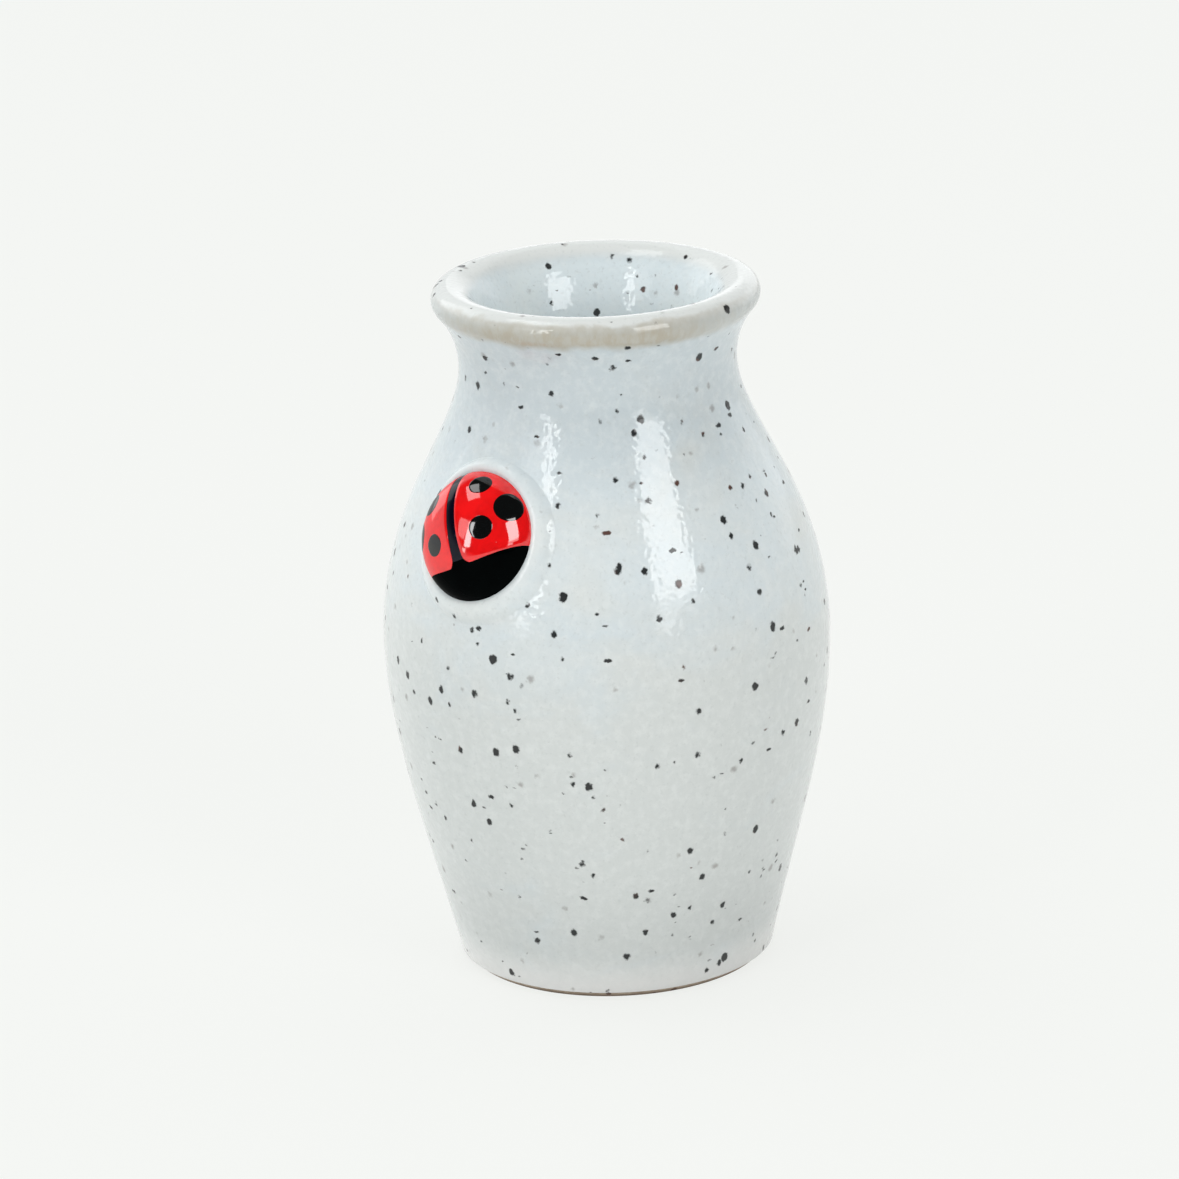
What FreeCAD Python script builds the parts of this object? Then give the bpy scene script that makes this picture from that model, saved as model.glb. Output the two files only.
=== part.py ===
"""Ladybug bud vase: a small thrown stoneware vase with a ladybug set in its shoulder.

Millimetres, +Z up. The origin is the middle of the flat foot, on the axis of the pot,
and the ladybug faces -Y. Every piece is a solid of its own and is written to
parts/NODE.step.
"""
import FreeCAD, Part
import math
import os

from FreeCAD import Matrix, Placement, Vector

# ---- the pot: heights are stacked from the foot up -------------------------------------
FOOT_HEIGHT = 0.8            # bare clay band that the glaze leaves free
BELLY_RISE = 37.8            # top of the foot band to the widest girth
SHOULDER_RISE = 32.0         # widest girth to the waist of the neck
LIP_RISE = 9.4               # waist of the neck to the crest of the lip

FOOT_RADIUS = 18.25          # over the glaze, where the wall starts
BELLY_RADIUS = 25.65
NECK_RADIUS = 15.8
LIP_RADIUS = 18.6

FOOT_BEVEL = 0.6             # the foot's edge is pared back this far
FOOT_LEAN = math.radians(12.6)
FOOT_SWEEP = 13.0            # how far the wall keeps the foot's lean
BELLY_SWEEP_LOW = 12.7       # how far the wall stays upright below the belly
BELLY_SWEEP_HIGH = 15.9      # and above it
NECK_SWEEP = 7.9             # how far the neck stays upright below its waist

LIP_OUTER_ROLL = 1.8         # radius of the lip's outer quarter
LIP_INNER_ROLL = 3.4         # radius of the lip's inner roll
FUNNEL_LEAN = math.radians(30.0)    # the roll runs down into the throat at this lean
FUNNEL_SWEEP = 3.6           # how far the throat keeps that lean
THROAT_SWEEP = 4.2           # how far it is upright above its own waist
THROAT_DROP = 2.4            # its waist below the waist of the neck
THROAT_WALL = 4.7            # wall there, both coats included

# ---- walls and coats -------------------------------------------------------------------
WALL = 3.0                   # at the belly, both coats included
FLOOR = 4.2                  # at the middle, liner coat included
BOWL_DEPTH = 24.0            # how far the inside stays upright below the belly
BOWL_WIDTH = 19.0            # how far the inside stays level around the middle
GLAZE = 0.4

# ---- the ladybug -----------------------------------------------------------------------
LADYBUG_RISE = 16.7          # its middle above the widest girth
LADYBUG_TURN = math.radians(26.0)   # its tail leans to the left, its head to the right
LADYBUG_HALF_WIDTH = 7.45
LADYBUG_HALF_LENGTH = 7.55
LADYBUG_DOME = 5.2           # seat to the top of the back
SEAT_DEPTH = 1.0             # seat below the glaze at the ladybug's middle
BED = 0.3                    # setting cement under the ladybug
SEAT_CLEARANCE = 0.12
ENAMEL = 0.4

SEAM_WIDTH = 1.15
SEAM_ASIDE = -0.3            # brushed a little to the left of the middle
BROW_RADIUS = 21.0           # the curve where head and wings meet
BROW_DROP = 3.95             # that curve at the seam, from the ladybug's middle

# name: across to the right, towards the tail, radius
SPOTS = {
    "spot_right_tail": (3.15, 4.85, 1.50),
    "spot_right_side": (6.25, 1.40, 1.95),
    "spot_right_front": (3.35, -0.50, 1.52),
    "spot_left_tail": (-3.80, 4.40, 1.50),
    "spot_left_side": (-6.35, 1.40, 1.85),
    "spot_left_front": (-3.30, -0.75, 1.40),
}

# ---- the clay collar around it ---------------------------------------------------------
COLLAR_WIDTH = 1.5           # at its crest level, from the seat's edge outwards
COLLAR_HEIGHT = 0.9          # above the wall, glaze included
COLLAR_FLARE = 0.5           # how much its flank spreads for each millimetre down

# ---- worked-out levels -----------------------------------------------------------------
BELLY_LEVEL = FOOT_HEIGHT + BELLY_RISE
NECK_LEVEL = BELLY_LEVEL + SHOULDER_RISE
CREST_LEVEL = NECK_LEVEL + LIP_RISE
CREST_RADIUS = LIP_RADIUS - LIP_OUTER_ROLL
THROAT_RADIUS = NECK_RADIUS - THROAT_WALL
THROAT_LEVEL = NECK_LEVEL - THROAT_DROP
CAVITY_RADIUS = BELLY_RADIUS - WALL
LADYBUG_LEVEL = BELLY_LEVEL + LADYBUG_RISE

AXIS = Vector(0, 0, 1)
ORIGIN = Vector(0, 0, 0)
REACH = 2 * CREST_LEVEL      # longer than anything it has to cut


# ---- outlines, drawn in the plane of X and Z -------------------------------------------
def at(radius, level):
    return Vector(radius, 0, level)


def curve(*poles):
    """A smooth stretch of outline with the given poles."""
    bezier = Part.BezierCurve()
    bezier.setPoles([at(*pole) for pole in poles])
    return bezier


def line(start, end):
    return Part.LineSegment(start, end).toShape()


def arc(middle, radius, first, last):
    """An arc about a middle, from one angle to another, in degrees from +X."""
    angles = [math.radians(a) for a in (first, (first + last) / 2, last)]
    points = [middle + radius * at(math.cos(a), math.sin(a)) for a in angles]
    return Part.Arc(*points).toShape()


def shoulder_curve(inset):
    belly = BELLY_RADIUS - inset
    neck = NECK_RADIUS - inset
    return curve((belly, BELLY_LEVEL), (belly, BELLY_LEVEL + BELLY_SWEEP_HIGH),
                 (neck, NECK_LEVEL - NECK_SWEEP), (neck, NECK_LEVEL))


def outside(inset):
    """The outside from the foot band to the crest, moved inwards by inset."""
    foot = FOOT_RADIUS - inset
    belly = BELLY_RADIUS - inset
    lean = (foot + FOOT_SWEEP * math.sin(FOOT_LEAN),
            FOOT_HEIGHT + FOOT_SWEEP * math.cos(FOOT_LEAN))
    wall = curve((foot, FOOT_HEIGHT), lean,
                 (belly, BELLY_LEVEL - BELLY_SWEEP_LOW), (belly, BELLY_LEVEL))

    # the neck's hollow is one arc that runs straight into the lip's roll
    roll = LIP_OUTER_ROLL
    roll_middle = at(CREST_RADIUS, CREST_LEVEL - roll)
    across = CREST_RADIUS - NECK_RADIUS
    rise = LIP_RISE - roll
    hollow = (across ** 2 + rise ** 2 - roll ** 2) / (2 * (roll + across))
    hollow_middle = at(NECK_RADIUS + hollow, NECK_LEVEL)
    meet = math.degrees(math.atan2(rise, hollow - across))
    return [
        wall.toShape(),
        shoulder_curve(inset).toShape(),
        arc(hollow_middle, hollow + inset, 180, 180 - meet),
        arc(roll_middle, roll - inset, -meet, 90),
    ]


def inside(inset):
    """The inside from the crest to the middle of the floor, moved into the clay."""
    throat = THROAT_RADIUS + inset
    cavity = CAVITY_RADIUS + inset
    floor = FLOOR - inset

    # the lip's roll runs straight into a funnel that narrows down to the throat
    roll_middle = at(CREST_RADIUS, CREST_LEVEL - LIP_INNER_ROLL)
    roll = LIP_INNER_ROLL - inset
    cosine, sine = math.cos(FUNNEL_LEAN), math.sin(FUNNEL_LEAN)
    roll_end = roll_middle + roll * at(-cosine, sine)
    lean = roll_end - FUNNEL_SWEEP * at(sine, cosine)
    funnel = curve((roll_end.x, roll_end.z), (lean.x, lean.z),
                   (throat, THROAT_LEVEL + THROAT_SWEEP), (throat, THROAT_LEVEL))
    return [
        arc(roll_middle, roll, 90, 180 - math.degrees(FUNNEL_LEAN)),
        funnel.toShape(),
        curve((throat, THROAT_LEVEL), (throat, THROAT_LEVEL - NECK_SWEEP),
              (cavity, BELLY_LEVEL + BELLY_SWEEP_HIGH), (cavity, BELLY_LEVEL)).toShape(),
        curve((cavity, BELLY_LEVEL), (cavity, BELLY_LEVEL - BOWL_DEPTH),
              (BOWL_WIDTH + inset, floor), (0, floor)).toShape(),
    ]


def turned(edges):
    """The solid that a closed outline sweeps about the axis."""
    wire = Part.Wire(Part.__sortEdges__(edges))
    return Part.Face(wire).revolve(ORIGIN, AXIS, 360)


def hull(inset):
    """Everything inside the outside, as if the pot were solid."""
    foot = at(FOOT_RADIUS - inset, FOOT_HEIGHT)
    crest = at(CREST_RADIUS, CREST_LEVEL - inset)
    top = at(0, CREST_LEVEL - inset)
    bottom = at(0, FOOT_HEIGHT)
    return turned(outside(inset) + [line(crest, top), line(top, bottom), line(bottom, foot)])


# ---- the ladybug's own frame: across, towards the tail, and out of the wall ------------
def ladybug_placement():
    shoulder = shoulder_curve(0)
    level = Part.Line(at(0, LADYBUG_LEVEL), at(BELLY_RADIUS, LADYBUG_LEVEL))
    spot = shoulder.intersectCC(level)[0]
    slope = shoulder.tangent(shoulder.parameter(Vector(spot.X, 0, spot.Z)))[0]
    up = Vector(0, -slope.x, slope.z)
    right = Vector(1, 0, 0)
    out = right.cross(up)
    across = right * math.cos(LADYBUG_TURN) + up * math.sin(LADYBUG_TURN)
    tailwards = up * math.cos(LADYBUG_TURN) - right * math.sin(LADYBUG_TURN)
    place = Matrix(across.x, tailwards.x, out.x, 0,
                   across.y, tailwards.y, out.y, -spot.X,
                   across.z, tailwards.z, out.z, spot.Z,
                   0, 0, 0, 1)
    return Placement(place)


LADYBUG = ladybug_placement()


def placed(shape):
    copy = shape.copy()
    copy.Placement = LADYBUG.multiply(copy.Placement)
    return copy


def oval(grown, level):
    """The ladybug's outline, grown all round, as a wire at a level above the wall."""
    middle = Vector(0, 0, level)
    reaches = [Vector(LADYBUG_HALF_WIDTH + grown, 0, 0),
               Vector(0, LADYBUG_HALF_LENGTH + grown, 0)]
    shorter, longer = sorted(reaches, key=lambda reach: reach.Length)
    ellipse = Part.Ellipse(middle + longer, middle + shorter, middle)
    return Part.Wire(ellipse.toShape())


def oval_block(grown, bottom, top):
    face = Part.Face(oval(grown, bottom))
    return face.extrude(Vector(0, 0, top - bottom))


def seat_pocket():
    return placed(oval_block(SEAT_CLEARANCE, -SEAT_DEPTH - BED, REACH))


def collar_block(grown):
    """An oval plug through the wall, whose flank spreads towards the pot."""
    edge = COLLAR_WIDTH + SEAT_CLEARANCE + grown
    deep = LADYBUG_HALF_WIDTH
    high = COLLAR_HEIGHT + GLAZE
    wide = oval(edge + deep * COLLAR_FLARE, -deep)
    narrow = oval(edge - high * COLLAR_FLARE, high)
    return placed(Part.makeLoft([wide, narrow], True, True))


# ---- the pot's pieces ------------------------------------------------------------------
def clay_collar_blank():
    return hull(GLAZE - COLLAR_HEIGHT).common(collar_block(-GLAZE))


def vase_body():
    """Thrown wall, floor and lip of speckled stoneware, with the ladybug's seat."""
    foot_edge = at(FOOT_RADIUS - GLAZE - FOOT_BEVEL, 0)
    foot_top = at(FOOT_RADIUS - GLAZE, FOOT_HEIGHT)
    outline = outside(GLAZE) + inside(GLAZE)
    outline += [line(foot_top, foot_edge), line(foot_edge, ORIGIN)]
    outline += [line(ORIGIN, at(0, FLOOR - GLAZE))]
    return turned(outline).cut(seat_pocket())


def bezel_collar():
    """Roll of clay luted to the wall around the ladybug."""
    return clay_collar_blank().cut(hull(GLAZE)).cut(seat_pocket())


def outer_glaze():
    """Glaze over the outside, from the foot band over the collar to the crest."""
    crest = line(at(CREST_RADIUS, CREST_LEVEL), at(CREST_RADIUS, CREST_LEVEL - GLAZE))
    foot = line(at(FOOT_RADIUS, FOOT_HEIGHT), at(FOOT_RADIUS - GLAZE, FOOT_HEIGHT))
    coat = turned(outside(0) + outside(GLAZE) + [crest, foot])
    over_collar = hull(-COLLAR_HEIGHT).common(collar_block(0)).cut(hull(GLAZE))
    return coat.fuse(over_collar).cut(clay_collar_blank()).cut(seat_pocket())


def liner_glaze():
    """Glaze over the inside, from the crest to the middle of the floor."""
    crest = line(at(CREST_RADIUS, CREST_LEVEL), at(CREST_RADIUS, CREST_LEVEL - GLAZE))
    floor = line(at(0, FLOOR), at(0, FLOOR - GLAZE))
    return turned(inside(0) + inside(GLAZE) + [crest, floor])


# ---- the ladybug's pieces --------------------------------------------------------------
def dome(inset):
    """Half an egg standing on the seat, its skin moved inwards by inset."""
    half_ball = Part.makeSphere(1, ORIGIN, AXIS, 0, 90, 360)
    stretch = Matrix()
    stretch.scale(LADYBUG_HALF_WIDTH - inset, LADYBUG_HALF_LENGTH - inset, LADYBUG_DOME - inset)
    egg = half_ball.transformGeometry(stretch)
    egg.translate(Vector(0, 0, -SEAT_DEPTH))
    return egg


def setting_bed():
    return placed(oval_block(-ENAMEL, -SEAT_DEPTH - BED, -SEAT_DEPTH))


def ladybug_core():
    return placed(dome(ENAMEL))


def brow_block():
    """Everything on the tail side of the curve between head and wings."""
    middle = Vector(SEAM_ASIDE, BROW_RADIUS - BROW_DROP, -REACH / 2)
    return Part.makeCylinder(BROW_RADIUS, REACH, middle, AXIS)


def half_block(side):
    """Everything on one side of the seam."""
    start = SEAM_ASIDE + (SEAM_WIDTH / 2 if side > 0 else -SEAM_WIDTH / 2 - REACH)
    return Part.makeBox(REACH, 2 * REACH, REACH, Vector(start, -REACH, -REACH / 2))


def spot_plug(across, tailwards, radius):
    """A round plug that stands square to the dome where the spot is."""
    rest = 1 - (across / LADYBUG_HALF_WIDTH) ** 2 - (tailwards / LADYBUG_HALF_LENGTH) ** 2
    height = LADYBUG_DOME * math.sqrt(rest)
    square = Vector(across / LADYBUG_HALF_WIDTH ** 2, tailwards / LADYBUG_HALF_LENGTH ** 2,
                    height / LADYBUG_DOME ** 2)
    square.normalize()
    middle = Vector(across, tailwards, height - SEAT_DEPTH)
    return Part.makeCylinder(radius, 2 * radius, middle - square * radius, square)


def enamel_coat():
    return dome(0).cut(dome(ENAMEL))


def head_enamel():
    return placed(enamel_coat().cut(brow_block()))


def seam_enamel():
    wings = enamel_coat().common(brow_block())
    return placed(wings.cut(half_block(1)).cut(half_block(-1)))


def wing_enamel(side):
    wing = enamel_coat().common(brow_block()).common(half_block(side))
    for spot in SPOTS.values():
        if spot[0] * side > 0:
            wing = wing.cut(spot_plug(*spot))
    return placed(wing)


def spot_enamel(spot):
    return placed(enamel_coat().common(spot_plug(*spot)))


def pieces():
    yield "vase_body", vase_body()
    yield "bezel_collar", bezel_collar()
    yield "outer_glaze", outer_glaze()
    yield "liner_glaze", liner_glaze()
    yield "setting_bed", setting_bed()
    yield "ladybug_core", ladybug_core()
    yield "head_enamel", head_enamel()
    yield "wing_seam", seam_enamel()
    yield "wing_right", wing_enamel(1)
    yield "wing_left", wing_enamel(-1)
    for name, spot in SPOTS.items():
        yield name, spot_enamel(spot)


os.makedirs("parts", exist_ok=True)
for name, shape in pieces():
    print(name, len(shape.Solids), "solid", shape.isValid(), round(shape.Volume, 2), "mm3")
    shape.exportStep("parts/" + name + ".step")
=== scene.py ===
"""Small thrown bud vase with a ladybug set in its shoulder: clay, glazes and enamels.

Metres, +Z up, the foot's middle at the origin and the ladybug facing -Y.
"""

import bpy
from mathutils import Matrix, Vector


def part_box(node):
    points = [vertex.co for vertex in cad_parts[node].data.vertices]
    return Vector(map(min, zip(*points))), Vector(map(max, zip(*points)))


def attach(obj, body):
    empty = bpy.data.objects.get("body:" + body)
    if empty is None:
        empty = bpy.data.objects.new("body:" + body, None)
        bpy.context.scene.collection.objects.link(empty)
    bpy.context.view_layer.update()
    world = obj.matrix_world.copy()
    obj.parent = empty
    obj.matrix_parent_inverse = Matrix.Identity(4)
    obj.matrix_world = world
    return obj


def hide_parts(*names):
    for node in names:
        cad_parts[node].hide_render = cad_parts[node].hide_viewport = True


bl_info = {
    "name": "Ladybug bud vase",
    "version": (1, 0, 0),
    "blender": (4, 5, 0),
    "location": "View3D > Sidebar > Bud vase",
    "description": "Builds the glazes, clay and enamels of a small thrown bud vase",
    "category": "Object",
}

import math

import bmesh
import bpy
from bpy.props import FloatProperty, FloatVectorProperty, IntProperty, PointerProperty
from mathutils import Matrix, Vector, noise
from mathutils.geometry import interpolate_bezier

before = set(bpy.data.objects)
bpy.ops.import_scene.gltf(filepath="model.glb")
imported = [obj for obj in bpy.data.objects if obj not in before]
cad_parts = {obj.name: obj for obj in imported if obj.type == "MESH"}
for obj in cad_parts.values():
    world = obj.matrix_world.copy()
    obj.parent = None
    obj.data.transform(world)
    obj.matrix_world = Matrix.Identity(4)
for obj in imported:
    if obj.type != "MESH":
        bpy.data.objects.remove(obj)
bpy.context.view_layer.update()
COAT_LOW, COAT_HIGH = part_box("outer_glaze")
MM = 0.001
SHOULDER_HANDLE = 15.9 * MM     # how stiffly the shoulder leaves the belly
NECK_HANDLE = 7.9 * MM          # and how stiffly it runs into the neck
SKIN = 0.1 * MM                 # clay kept this far under its coats
COLLAR_CREST = 0.35 * MM        # the roll is highest this far outside the ladybug
COLLAR_REACH = 4.2 * MM         # no roll of clay further out than this
WALL_REACH = 6 * MM             # no roll of clay further in or out of the wall than this
STUDIO_WHITE = (0.89, 0.905, 0.88, 1)
LAMP_DISTANCE = 1.25


# ---- what a user would change ----
def size(name, millimetres, description, least=0):
    return FloatProperty(name=name, description=description, default=millimetres * MM,
                         min=least, precision=5, subtype="DISTANCE", unit="LENGTH")


def colour(name, red, green, blue, description):
    return FloatVectorProperty(name=name, description=description, size=3, min=0, max=1,
                               default=(red, green, blue), subtype="COLOR")


def turn(name, degrees, description):
    return FloatProperty(name=name, description=description,
                         default=math.radians(degrees), subtype="ANGLE", unit="ROTATION")


class PotSizes(bpy.types.PropertyGroup):
    """The turned outline, over the glaze"""
    belly_radius: size("Belly radius", COAT_HIGH.x / MM, "Widest radius")
    crest_level: size("Crest level", COAT_HIGH.z / MM, "Height of the lip's crest")
    foot_level: size("Foot band", COAT_LOW.z / MM, "Height of the bare band at the foot")
    foot_radius: size("Foot radius", 18.25, "Radius where the wall starts")
    foot_bevel: size("Foot bevel", 0.6, "How far the foot's edge is pared back")
    belly_level: size("Belly level", 38.6, "Height of the widest girth")
    neck_level: size("Neck level", 70.6, "Height of the neck's waist")
    neck_radius: size("Neck radius", 15.8, "Radius of the neck's waist")
    lip_radius: size("Lip radius", 18.6, "Widest radius of the lip")
    outer_roll: size("Outer roll", 1.8, "Radius of the lip's outer quarter")
    inner_roll: size("Inner roll", 3.4, "Radius of the lip's inner roll")
    funnel_lean: turn("Funnel lean", 30, "Lean at which the roll runs into the throat")
    throat_wall: size("Throat wall", 4.7, "Wall at the throat's waist, coats included")
    throat_drop: size("Throat drop", 2.4, "Throat's waist below the neck's waist")
    wall: size("Wall", 3.0, "Wall at the belly, coats included")
    floor: size("Floor", 4.2, "Floor at the middle, coat included")
    glaze: size("Glaze", 0.4, "Thickness of each coat")
    steps: IntProperty(name="Turning steps", description="Facets round the pot",
                       default=192, min=24, max=512)


class LadybugSizes(bpy.types.PropertyGroup):
    """The domed ladybug and its clay collar"""
    level: size("Level", 55.3, "Height of its middle on the wall")
    lean: turn("Lean", 26.0, "How far the tail leans to the left")
    half_width: size("Half width", 7.45, "Across both wings, halved")
    half_length: size("Half length", 7.55, "Head to tail, halved")
    dome: size("Dome", 5.2, "Seat to the top of the back")
    seat_depth: size("Seat depth", 1.0, "Seat below the glaze")
    enamel: size("Enamel", 0.4, "Thickness of the colour")
    seam: size("Seam", 1.15, "Width of the line between the wings")
    seam_aside: size("Seam aside", -0.3, "How far the seam is off the middle", -1)
    brow: size("Brow", 3.95, "Where the wings end at the seam, ahead of the middle")
    collar_height: size("Collar height", 0.9, "Roll of clay above the wall")
    collar_width: size("Collar width", 1.45, "How far the roll spreads outwards")


class Finishes(bpy.types.PropertyGroup):
    """Colours of the fired surfaces"""
    glaze_cool: colour("Glaze, thick", 0.555, 0.615, 0.635, "Where the glaze lies thick")
    glaze_warm: colour("Glaze, thin", 0.572, 0.598, 0.582, "Where the glaze lies thin")
    glaze_break: colour("Glaze, breaking", 0.40, 0.37, 0.30, "Tan where it runs thin")
    # painted light: the lip's crest is paler where it faces up to the light from above
    crest_painted_light: colour("Glaze, crest", 0.62, 0.635, 0.615, "Pale on the lip's crest")
    # pinkish tint where the glaze stops, made paler as painted light bounced up from the
    # floor
    foot_tint_and_painted_bounce: colour("Glaze, foot", 0.76, 0.75, 0.73, "Pinkish where it stops")
    # the two liner colours are paler than the outside glaze: partly the liner's own
    # colour, partly painted light for the shaded inside of the mouth
    liner: colour("Liner, thin", 0.73, 0.775, 0.755, "Paler glaze of the inside")
    liner_cool_and_painted_light: colour("Liner, thick", 0.665, 0.73, 0.745, "Where the liner lies thick")
    iron: colour("Iron", 0.003, 0.003, 0.0035, "Iron grains that burn through")
    iron_rust: colour("Rust", 0.075, 0.026, 0.016, "Iron grains with a rusty rim")
    clay: colour("Clay", 0.47, 0.385, 0.29, "Bare fired stoneware")
    red: colour("Red", 0.82, 0.004, 0.005, "Wing enamel")
    black: colour("Black", 0.0007, 0.0013, 0.0013, "Head and spot enamel")
    seam: colour("Seam", 0.0022, 0.0016, 0.009, "Blue-black line between the wings")
    cement: colour("Cement", 0.62, 0.59, 0.52, "Bed under the ladybug")


# ---- outlines: pairs of radius and level ----
def stretch(start, start_handle, end_handle, end, count):
    return interpolate_bezier(*map(Vector, (start, start_handle, end_handle, end)), count)


def roll(middle, radius, first, last, count):
    """Points of an arc, between two angles in degrees from straight outwards."""
    angles = [math.radians(first + (last - first) * i / (count - 1))
              for i in range(count)]
    return [Vector((middle[0] + radius * math.cos(a), middle[1] + radius * math.sin(a)))
            for a in angles]


def outside(pot, inset):
    """The outside from the foot band up to the crest, moved inwards by inset."""
    foot, belly, neck = (r - inset for r in (pot.foot_radius, pot.belly_radius,
                                             pot.neck_radius))
    lean, foot_handle, belly_handle = math.radians(12.6), 13 * MM, 12.7 * MM
    leaning = (foot + foot_handle * math.sin(lean),
               pot.foot_level + foot_handle * math.cos(lean))
    wall = stretch((foot, pot.foot_level), leaning,
                   (belly, pot.belly_level - belly_handle), (belly, pot.belly_level), 46)
    shoulder = stretch((belly, pot.belly_level),
                       (belly, pot.belly_level + SHOULDER_HANDLE),
                       (neck, pot.neck_level - NECK_HANDLE), (neck, pot.neck_level), 44)
    crest = pot.lip_radius - pot.outer_roll
    across = crest - pot.neck_radius
    rise = pot.crest_level - pot.neck_level - pot.outer_roll
    hollow = ((across ** 2 + rise ** 2 - pot.outer_roll ** 2)
              / (2 * (pot.outer_roll + across)))
    meet = math.degrees(math.atan2(rise, hollow - across))
    neck_hollow = roll((pot.neck_radius + hollow, pot.neck_level), hollow + inset,
                       180, 180 - meet, 14)
    lip = roll((crest, pot.crest_level - pot.outer_roll), pot.outer_roll - inset,
               -meet, 90, 16)
    return wall + shoulder[1:] + neck_hollow[1:] + lip[1:]


def inside(pot, inset):
    """The inside from the crest down to the middle of the floor, moved into the clay."""
    throat = pot.neck_radius - pot.throat_wall + inset
    throat_level = pot.neck_level - pot.throat_drop
    cavity = pot.belly_radius - pot.wall + inset
    floor = pot.floor - inset
    lip = roll((pot.lip_radius - pot.outer_roll, pot.crest_level - pot.inner_roll),
               pot.inner_roll - inset, 90, 180 - math.degrees(pot.funnel_lean), 16)
    down = Vector((math.sin(pot.funnel_lean), math.cos(pot.funnel_lean)))
    funnel = stretch(lip[-1], lip[-1] - 3.6 * MM * down,
                     (throat, throat_level + 4.2 * MM), (throat, throat_level), 14)
    neck = stretch((throat, throat_level), (throat, throat_level - NECK_HANDLE),
                   (cavity, pot.belly_level + SHOULDER_HANDLE),
                   (cavity, pot.belly_level), 30)
    bowl = stretch((cavity, pot.belly_level), (cavity, pot.belly_level - 24 * MM),
                   (19 * MM + inset, floor), (0, floor), 36)
    return lip + funnel[1:] + neck[1:] + bowl[1:]


def turned(outline, pot, closed):
    """Spins an outline about the axis, with how far along it each vertex lies."""
    mesh = bmesh.new()
    along = mesh.verts.layers.float.new("along")
    verts = [mesh.verts.new((0, radius, level)) for radius, level in outline]
    lengths = [0.0]
    for before, after in zip(outline, outline[1:]):
        lengths.append(lengths[-1] + (after - before).length)
    for vert, length in zip(verts, lengths):
        vert[along] = length / lengths[-1]
    edges = [mesh.edges.new(pair) for pair in zip(verts, verts[1:])]
    if closed:
        edges.append(mesh.edges.new((verts[-1], verts[0])))
    bmesh.ops.spin(mesh, geom=verts + edges, cent=(0, 0, 0), axis=(0, 0, 1),
                   angle=math.tau, steps=pot.steps, use_merge=True)
    bmesh.ops.remove_doubles(mesh, verts=mesh.verts, dist=0.5e-6)
    bmesh.ops.recalc_face_normals(mesh, faces=mesh.faces)
    return mesh


def shown_share(outline, seen):
    """How much of an outline is the part that can be seen."""
    def run(points):
        return sum((after - before).length for before, after in zip(points, points[1:]))
    return run(seen) / run(outline) + 1e-6


# ---- the ladybug's own frame ----
def ladybug_frame(pot, bug):
    """Across, tailwards and out of the wall, from the ladybug's middle on the glaze."""
    wall = outside(pot, 0)
    below, above = next((a, b) for a, b in zip(wall, wall[1:])
                        if a.y <= bug.level < b.y)
    part = (bug.level - below.y) / (above.y - below.y)
    radius = below.x + part * (above.x - below.x)
    up = Vector((0, below.x - above.x, above.y - below.y)).normalized()
    right = Vector((1, 0, 0))
    out = right.cross(up)
    across = right * math.cos(bug.lean) + up * math.sin(bug.lean)
    tailwards = up * math.cos(bug.lean) - right * math.sin(bug.lean)
    place = Matrix((across, tailwards, out)).transposed().to_4x4()
    place.translation = Vector((0, -radius, bug.level))
    return place


def beyond_oval(bug, local):
    """How far a point lies outside the ladybug's outline, seen square on."""
    reach = math.hypot(local.x, local.y)
    if reach < 1e-9:
        return -bug.half_width
    x, y = local.x / reach, local.y / reach
    return reach - 1 / math.hypot(x / bug.half_width, y / bug.half_length)


def near_ladybug(bug, local, margin):
    return abs(local.z) < WALL_REACH and beyond_oval(bug, local) < margin


def collar_rise(bug, local, right):
    """Height of the pressed clay around the ladybug, and the dip that it sits in."""
    gap = beyond_oval(bug, local)
    crest, contact = COLLAR_CREST, -0.45 * MM
    if gap < contact:
        return bug.collar_height * 0.65 + (gap - contact) * 3
    if gap < crest:
        return bug.collar_height * (1 - 0.35 * ((crest - gap) / (crest - contact)) ** 2)
    reach = max(math.hypot(local.x, local.y), 1e-9)
    upwards = Vector((-right.y, right.x))
    leaning = (local.xy @ right - local.xy @ upwards) / reach
    lumps = noise.noise(Vector((local.x, local.y, 0)) * 260)
    width = bug.collar_width + 0.35 * MM * leaning + 0.15 * MM * lumps
    spread = min((gap - crest) / width, 1)
    return bug.collar_height * (1 - spread ** 2)


# ---- mesh helpers ----
def linked(name, data):
    made = bpy.data.objects.new(name, data)
    bpy.context.scene.collection.objects.link(made)
    return made


def into_scene(mesh, name, material):
    data = bpy.data.meshes.new(name)
    mesh.to_mesh(data)
    mesh.free()
    data.materials.append(material)
    return linked(name, data)


def finish_mesh(mesh, name, material, nodes):
    """Turns a bmesh into a piece of the object that rides on the body."""
    piece = into_scene(mesh, name, material)
    piece.data.shade_smooth()
    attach(piece, "root")
    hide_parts(*nodes)
    return piece


def sharpen(mesh, degrees):
    for edge in mesh.edges:
        if len(edge.link_faces) == 2 and edge.calc_face_angle(0) > math.radians(degrees):
            edge.smooth = False


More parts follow.
